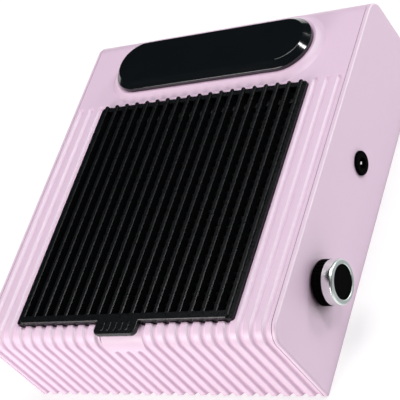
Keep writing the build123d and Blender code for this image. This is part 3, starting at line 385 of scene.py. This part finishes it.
def component_black():
    """Moulded epoxy with a matt etched face."""
    s = Shader("component_black")
    grain = s.noise(0.4 * MM, 4.0, 0.6)
    s.colour(s.blend(grain, (0.010, 0.010, 0.011), (0.022, 0.022, 0.024)))
    s.roughness(grain, 0.45, 0.62)
    s.bump((grain, 0.02 * MM))
    return s.material


def finishes():
    """The material of every slot in the record."""
    return {
        "housing_pink": housing_pink(),
        "black_moulding": black_plastic(
            "black_moulding", rough=0.30, gloss=0.36, tint=(0.0020, 0.0024, 0.0029)
        ),
        "hand_rest_gloss": hand_rest_gloss(),
        "matt_black": black_plastic(
            "matt_black", rough=0.55, gloss=0.006, tint=(0.0010, 0.0010, 0.0011)
        ),
        "knob_chrome": knob_chrome(),
        "inner_moulding": inner_plastic("inner_moulding", (0.007, 0.007, 0.008)),
        "impeller_moulding": inner_plastic("impeller_moulding", (0.034, 0.034, 0.037), rough=0.42),
        "filter_frame": inner_plastic("filter_frame", (0.006, 0.006, 0.007), rough=0.6),
        "filter_sheet": filter_fibre(),
        "seal_foam": seal_foam(),
        "foot_rubber": rubber("foot_rubber", (0.012, 0.012, 0.012)),
        "screw_steel": metal("screw_steel", (0.060, 0.060, 0.064), (0.30, 0.46), grain=0.5 * MM),
        "turned_steel": metal(
            "turned_steel", (0.62, 0.62, 0.63), (0.16, 0.30), grain=0.3 * MM, stretch=(1, 1, 6)
        ),
        "plated_metal": metal("plated_metal", (0.80, 0.78, 0.73), (0.10, 0.22)),
        "laminated_iron": laminated_iron(),
        "magnet": metal("magnet", (0.10, 0.10, 0.11), (0.45, 0.65), grain=0.8 * MM, depth=0.02 * MM),
        "copper_wire": copper_wire(),
        "circuit_board": circuit_board(),
        "component_aluminium": metal(
            "component_aluminium", (0.74, 0.75, 0.77), (0.22, 0.40), stretch=(1, 1, 0.1)
        ),
        "component_black": component_black(),
        "lead_sheath": rubber("lead_sheath", (0.010, 0.010, 0.010)),
    }


def paint(obj, material):
    """Gives an object one material."""
    obj.data.materials.clear()
    obj.data.materials.append(material)


def paint_nodes(made):
    """Every CAD node takes the finish of its slot in the record."""
    for part in frame["record"]["subparts"]:
        paint(frame["nodes"][part["node"]], made[part["material_slot"]])


# ---------------------------------------------------------------- soft pieces
def piece(name, points, faces, material):
    """A smooth-shaded mesh piece fixed in the housing, with the finish of its slot."""
    mesh = bpy.data.meshes.new(name)
    mesh.from_pydata(points, [], faces)
    mesh.validate()
    mesh.shade_smooth()
    obj = bpy.data.objects.new(name, mesh)
    bpy.context.scene.collection.objects.link(obj)
    paint(obj, material)
    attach(obj, "housing")
    return obj


def grid_faces(rows, columns, first=0, flip=False):
    """Quads between the points of a grid stored row by row."""
    faces = []
    for i in range(rows - 1):
        for j in range(columns - 1):
            a = first + i * columns + j
            quad = (a, a + 1, a + columns + 1, a + columns)
            faces.append(quad[::-1] if flip else quad)
    return faces


PLEATS = 23
FOLD_STEPS = 16
SHEET_T = 0.7 * MM
SHEET_COLUMNS = 25
CREST_SHARPNESS = 0.985
CREST_SWAY = 0.22 * MM
SWAY_LENGTH = 21 * MM
SWAY_SHIFT = 1.7
CREST_DIP = 0.035
DIP_LENGTH = 13 * MM
DIP_SHIFT = 2.3
SHEET_INSET = 0.15 * MM


def pleated_sheet(material):
    """Non-woven sheet folded to and fro inside its frame, with soft crests that sway a little."""
    low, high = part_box("filter_media")
    count = PLEATS * FOLD_STEPS + 1
    middle = (low.z + high.z) / 2
    rise = (high.z - low.z - SHEET_T) / 2
    start = low.y + SHEET_T
    run = high.y - low.y - 2 * SHEET_T
    width = high.x - low.x - 2 * SHEET_INSET
    across = [low.x + SHEET_INSET + width * j / (SHEET_COLUMNS - 1) for j in range(SHEET_COLUMNS)]

    def centre(i, x):
        """Point of the sheet's middle layer, i steps along the folds at x."""
        pleat = i // FOLD_STEPS
        turn = 2 * math.pi * i / FOLD_STEPS
        wave = math.asin(CREST_SHARPNESS * math.cos(turn)) / math.asin(CREST_SHARPNESS)
        inner = math.sin(math.pi * i / (count - 1))
        sway = CREST_SWAY * inner * math.sin(x / SWAY_LENGTH + SWAY_SHIFT * pleat) * wave
        height = 1.0 - CREST_DIP * (0.5 + 0.5 * math.sin(x / DIP_LENGTH + DIP_SHIFT * pleat))
        return Vector((x, start + run * i / (count - 1) + sway, middle - rise * height * wave))

    points = []
    for side in (1, -1):
        for i in range(count):
            for x in across:
                along = centre(min(i + 1, count - 1), x) - centre(max(i - 1, 0), x)
                normal = Vector((0, -along.z, along.y)).normalized()
                points.append(centre(i, x) + side * normal * SHEET_T / 2)
    layer = count * SHEET_COLUMNS
    faces = grid_faces(count, SHEET_COLUMNS) + grid_faces(count, SHEET_COLUMNS, layer, True)
    last = (count - 1) * SHEET_COLUMNS
    for j in range(SHEET_COLUMNS - 1):
        faces.append((j + 1, j, layer + j, layer + j + 1))
        faces.append((last + j, last + j + 1, layer + last + j + 1, layer + last + j))
    for i in range(count - 1):
        a, b = i * SHEET_COLUMNS, (i + 1) * SHEET_COLUMNS
        faces.append((a, b, layer + b, layer + a))
        a, b = a + SHEET_COLUMNS - 1, b + SHEET_COLUMNS - 1
        faces.append((b, a, layer + a, layer + b))
    obj = piece("filter_pleats", points, faces, material)
    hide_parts("filter_media")


STRIP_W = 2.4 * MM
STRIP_CORNER = 3.0 * MM
STRIP_PLAY = 0.05 * MM
STRIP_SQUARENESS = 0.5
STRIP_SIDES = 14
CORNER_STEPS = 8


def foam_seal(material):
    """Foam strip laid round the tray's ledge, with rounded edges and soft corners."""
    low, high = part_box("filter_seal")
    inset = STRIP_W / 2 + STRIP_PLAY
    left, right = low.x + inset + STRIP_CORNER, high.x - inset - STRIP_CORNER
    front, rear = low.y + inset + STRIP_CORNER, high.y - inset - STRIP_CORNER
    arcs = ((right, rear, 0), (left, rear, 1), (left, front, 2), (right, front, 3))
    half_height = (high.z - low.z) / 2
    points = []
    for x, y, quarter in arcs:
        for step in range(CORNER_STEPS + 1):
            angle = math.pi / 2 * (quarter + step / CORNER_STEPS)
            outward = Vector((math.cos(angle), math.sin(angle), 0))
            spine = Vector((x, y, low.z + half_height)) + STRIP_CORNER * outward
            for k in range(STRIP_SIDES):
                turn = 2 * math.pi * k / STRIP_SIDES
                wide, tall = math.cos(turn), math.sin(turn)
                wide = math.copysign(abs(wide) ** STRIP_SQUARENESS, wide) * STRIP_W / 2
                tall = math.copysign(abs(tall) ** STRIP_SQUARENESS, tall) * half_height
                points.append(spine + wide * outward + Vector((0, 0, tall)))
    sections = len(points) // STRIP_SIDES
    faces = []
    for i in range(sections):
        for k in range(STRIP_SIDES):
            a, b = i * STRIP_SIDES, (i + 1) % sections * STRIP_SIDES
            n = (k + 1) % STRIP_SIDES
            faces.append((a + k, b + k, b + n, a + n))
    obj = piece("filter_foam_strip", points, faces, material)
    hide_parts("filter_seal")


# ---------------------------------------------------------------- floor, lights and camera
FLOOR_SIZE = 6.0
FLOOR_GLOW = 0.65
FLOOR_GREYS = ((0.42, 0.42, 0.42), (0.44, 0.44, 0.44))


def floor():
    """Plain pale floor that glows like a light table, so that it stays white round the object."""
    half = FLOOR_SIZE / 2
    mesh = bpy.data.meshes.new("floor")
    corners = [(-half, -half, 0), (half, -half, 0), (half, half, 0), (-half, half, 0)]
    mesh.from_pydata(corners, [], [(0, 1, 2, 3)])
    plane = bpy.data.objects.new("floor", mesh)
    bpy.context.scene.collection.objects.link(plane)
    s = Shader("floor_paper")
    s.colour(s.blend(s.noise(0.4, 2.0), *FLOOR_GREYS))
    s.roughness(s.noise(5 * MM, 3.0), 0.85, 0.95)
    s.set(Emission_Color=(1.0, 1.0, 1.0, 1.0), Emission_Strength=FLOOR_GLOW)
    paint(plane, s.material)


def softbox(name, direction, distance, size, power, colour=(1, 1, 1)):
    """Rectangular soft light that faces the housing's middle, its power in watts."""
    data = bpy.data.lights.new(name, "AREA")
    data.shape = "RECTANGLE"
    data.size, data.size_y = size
    data.energy = power
    data.color = colour
    target = Vector((0, 0, TOP_Z / 2))
    light = bpy.data.objects.new(name, data)
    light.location = target + Vector(direction).normalized() * distance
    light.rotation_mode = "QUATERNION"
    light.rotation_quaternion = (target - light.location).to_track_quat("-Z", "Y")
    bpy.context.scene.collection.objects.link(light)


DARK_SIDE = Vector((-0.62, 0.52, 0.59))
DARK_LEVEL = 0.02
DIM_LEVEL = 0.16
DIM_COSINE = 0.40
DARK_COSINE = 0.84


def studio():
    """Dim grey room, nearly dark towards the left rear, which the black gloss reflects. Two boxes
    light the top and the front, the key casts the knob's shadow, and a narrow one edges the slats."""
    world = bpy.data.worlds.new("studio")
    world.use_nodes = True
    bpy.context.scene.world = world
    tree = world.node_tree
    background = tree.nodes["Background"]
    direction = tree.nodes.new("ShaderNodeTexCoord").outputs["Generated"]
    dot = tree.nodes.new("ShaderNodeVectorMath")
    dot.operation = "DOT_PRODUCT"
    dot.inputs[1].default_value = DARK_SIDE.normalized()
    tree.links.new(direction, dot.inputs[0])
    fade = tree.nodes.new("ShaderNodeMapRange")
    fade.interpolation_type = "SMOOTHSTEP"
    fade.inputs["From Min"].default_value = DIM_COSINE
    fade.inputs["From Max"].default_value = DARK_COSINE
    fade.inputs["To Min"].default_value = DIM_LEVEL
    fade.inputs["To Max"].default_value = DARK_LEVEL
    tree.links.new(dot.outputs["Value"], fade.inputs["Value"])
    tree.links.new(fade.outputs["Result"], background.inputs["Strength"])
    warm = (1.0, 0.950, 0.94)
    softbox("top_box", (0.0, 0.25, 1.0), distance=1.2, size=(0.8, 0.6), power=9.0)
    softbox("front_box", (-0.45, -1.0, 0.36), distance=1.1, size=(0.7, 0.5), power=10.2, colour=warm)
    softbox("key_box", (0.62, 0.70, 0.30), distance=2.2, size=(0.5, 0.5), power=11.5)
    softbox("line_box", (0.72, 0.20, 0.71), distance=1.1, size=(0.12, 0.26), power=2.6)


# camera: distance from the aim point in metres, angles in degrees, lens and sensor in millimetres
AIM = Vector((0.0188, -0.0236, 0.0625))
DISTANCE = 0.797
AZIMUTH = 49.5
ELEVATION = 40.17
ROLL = -42.06
LENS = 129.5
SENSOR = 36.0


def camera():
    """Long lens from the front right and above, rolled so that the collector stands on its corner."""
    data = bpy.data.cameras.new("camera")
    data.lens = LENS
    data.sensor_width = SENSOR
    data.clip_start = 0.05
    data.clip_end = 20.0
    turn, rise = math.radians(AZIMUTH), math.radians(ELEVATION)
    flat = math.cos(rise)
    back = Vector((math.sin(turn) * flat, -math.cos(turn) * flat, math.sin(rise)))
    view = (-back).to_track_quat("-Z", "Y").to_matrix()
    view = view @ Matrix.Rotation(math.radians(ROLL), 3, "Z")
    obj = bpy.data.objects.new("camera", data)
    obj.matrix_world = Matrix.Translation(AIM + DISTANCE * back) @ view.to_4x4()
    bpy.context.scene.collection.objects.link(obj)
    bpy.context.scene.camera = obj


bpy.context.scene.view_settings.view_transform = "Standard"
camera()
studio()
floor()
made = finishes()
paint_nodes(made)
pleated_sheet(made["filter_sheet"])
foam_seal(made["seal_foam"])
